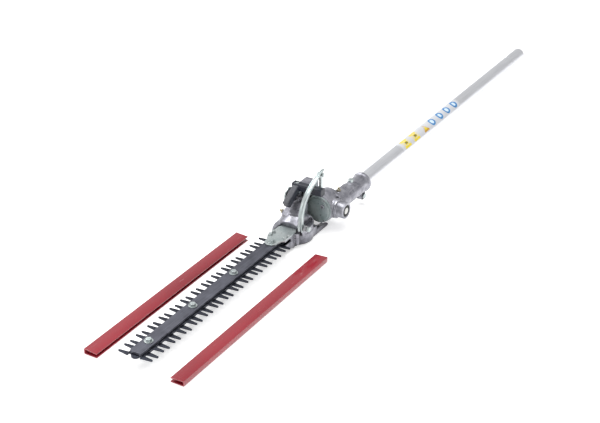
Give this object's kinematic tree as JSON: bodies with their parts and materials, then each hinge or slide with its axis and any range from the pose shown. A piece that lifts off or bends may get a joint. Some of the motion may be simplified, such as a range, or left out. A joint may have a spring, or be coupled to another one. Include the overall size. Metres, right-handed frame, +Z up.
{
  "type": "pole hedge trimmer",
  "caption": "Articulated pole hedge trimmer: drive tube, angle knuckle with index plate and lock lever, crank gear head, double-sided reciprocating blades and slip-on blade covers.",
  "frame": {"origin": "centre of the drive tube's free end", "axes": "+X along the tube towards the blade tip, +Z up from the flat underside of the head, +Y towards the hub side"},
  "size_m": [1.413, 0.187, 0.124],
  "materials": {
    "tube": "satin clear anodised, drawn along the tube",
    "casting": "raw die-cast, shot blasted",
    "zinc": "bright zinc plated",
    "steel": "ground and oiled",
    "blade_steel": "hardened and blued, ground cutting edges",
    "bar_steel": "dark phosphated",
    "black_plastic": "fine textured moulding",
    "red_plastic": "translucent glossy extrusion",
    "rubber": "matt",
    "white_plastic": "moulded",
    "brass": "turned",
    "liner_plastic": "moulded",
    "label_film": "printed film"
  },
  "bodies": {
    "pole": {"drive_tube": "tube", "shaft_liners": "liner_plastic", "label_sleeve": "label_film", "pinion_bearing": "steel", "upper_case": "casting", "clamp_bolt": "zinc", "locating_bolt": "zinc", "knuckle_nipple": "brass", "hub_seal": "rubber", "hub_plug": "white_plastic", "cross_bearings": "steel", "joint_cover": "zinc", "cover_screws": "steel", "index_plate": "zinc", "index_screws": "steel"},
    "drive_line": {"drive_shaft": "steel", "input_pinion": "steel"},
    "cross_line": {"cross_shaft": "steel", "cross_gears": "steel"},
    "head": {"gear_case": "casting", "case_tray": "casting", "case_screws": "zinc", "head_nipple": "brass", "lay_bearings": "steel", "idler_pin": "steel", "crank_bearings": "steel", "blade_bracket": "zinc", "bracket_bolts": "zinc", "guide_bar": "bar_steel", "bar_screws": "zinc", "bar_bushes": "steel", "bar_nuts": "zinc", "lever_bolt": "zinc", "lever_bush": "steel", "lever_spring": "steel", "handle": "black_plastic", "handle_clip": "zinc", "handle_bolt": "zinc", "side_plate": "zinc", "side_bolt": "steel"},
    "lay_line": {"lay_shaft": "steel"},
    "idler": {"idler_gear": "steel"},
    "crank": {"crank": "steel"},
    "upper_rod": {"upper_rod": "steel"},
    "lower_rod": {"lower_rod": "steel"},
    "upper_blade": {"upper_blade": "blade_steel"},
    "lower_blade": {"lower_blade": "blade_steel"},
    "lever": {"lock_lever": "zinc", "lock_pawl": "zinc", "pawl_bolts": "zinc"},
    "left_cover": {"left_cover": "red_plastic"},
    "right_cover": {"right_cover": "red_plastic"}
  },
  "joints": [
    {"name": "blade_angle", "type": "hinge", "parent": "pole", "child": "head", "pos_m": [0.856, -0.0445, 0], "axis": [0, 1, 0], "range_deg": [-60, 30]},
    {"name": "drive_spin", "type": "hinge", "parent": "pole", "child": "drive_line", "pos_m": [0.856, 0, 0], "axis": [1, 0, 0], "continuous": true},
    {"name": "cross_spin", "type": "hinge", "parent": "pole", "child": "cross_line", "pos_m": [0.856, 0, 0], "axis": [0, 1, 0], "continuous": true},
    {"name": "lay_spin", "type": "hinge", "parent": "head", "child": "lay_line", "pos_m": [0.856, -0.057, 0], "axis": [0, 0, 1], "continuous": true},
    {"name": "idler_spin", "type": "hinge", "parent": "head", "child": "idler", "pos_m": [0.88159, -0.04839, -0.042], "axis": [0, 0, 1], "continuous": true},
    {"name": "crank_spin", "type": "hinge", "parent": "head", "child": "crank", "pos_m": [0.9214, -0.035, -0.042], "axis": [0, 0, 1], "continuous": true},
    {"name": "upper_rod_turn", "type": "hinge", "parent": "crank", "child": "upper_rod", "pos_m": [0.9289, -0.035, -0.017], "axis": [0, 0, 1], "continuous": true},
    {"name": "lower_rod_turn", "type": "hinge", "parent": "crank", "child": "lower_rod", "pos_m": [0.9139, -0.035, -0.017], "axis": [0, 0, 1], "continuous": true},
    {"name": "upper_blade_stroke", "type": "slide", "parent": "head", "child": "upper_blade", "axis": [1, 0, 0], "range_m": [-0.015, 0]},
    {"name": "lower_blade_stroke", "type": "slide", "parent": "head", "child": "lower_blade", "axis": [1, 0, 0], "range_m": [0, 0.015]},
    {"name": "lock_lever_lift", "type": "hinge", "parent": "head", "child": "lever", "pos_m": [0.944, -0.0094, -0.0042], "axis": [0, 1, 0], "range_deg": [0, 4.5], "stiffness_Nm_per_rad": 4, "springref_deg": -8.59},
    {"name": "left_cover_shift", "type": "slide", "parent": "pole", "child": "left_cover", "axis": [0, -1, 0], "range_m": [0, 0.1]},
    {"name": "right_cover_shift", "type": "slide", "parent": "pole", "child": "right_cover", "axis": [0, 1, 0], "range_m": [0, 0.1]}
  ],
  "couplings": [
    {"joint": "cross_spin", "follows": "drive_spin", "ratio": 1},
    {"joint": "lay_spin", "follows": "drive_spin", "ratio": 1},
    {"joint": "idler_spin", "follows": "drive_spin", "ratio": -0.5},
    {"joint": "crank_spin", "follows": "drive_spin", "ratio": 0.375},
    {"joint": "upper_rod_turn", "follows": "drive_spin", "ratio": -0.375},
    {"joint": "lower_rod_turn", "follows": "drive_spin", "ratio": -0.375},
    {"joint": "lower_blade_stroke", "follows": "upper_blade_stroke", "ratio": -1}
  ]
}
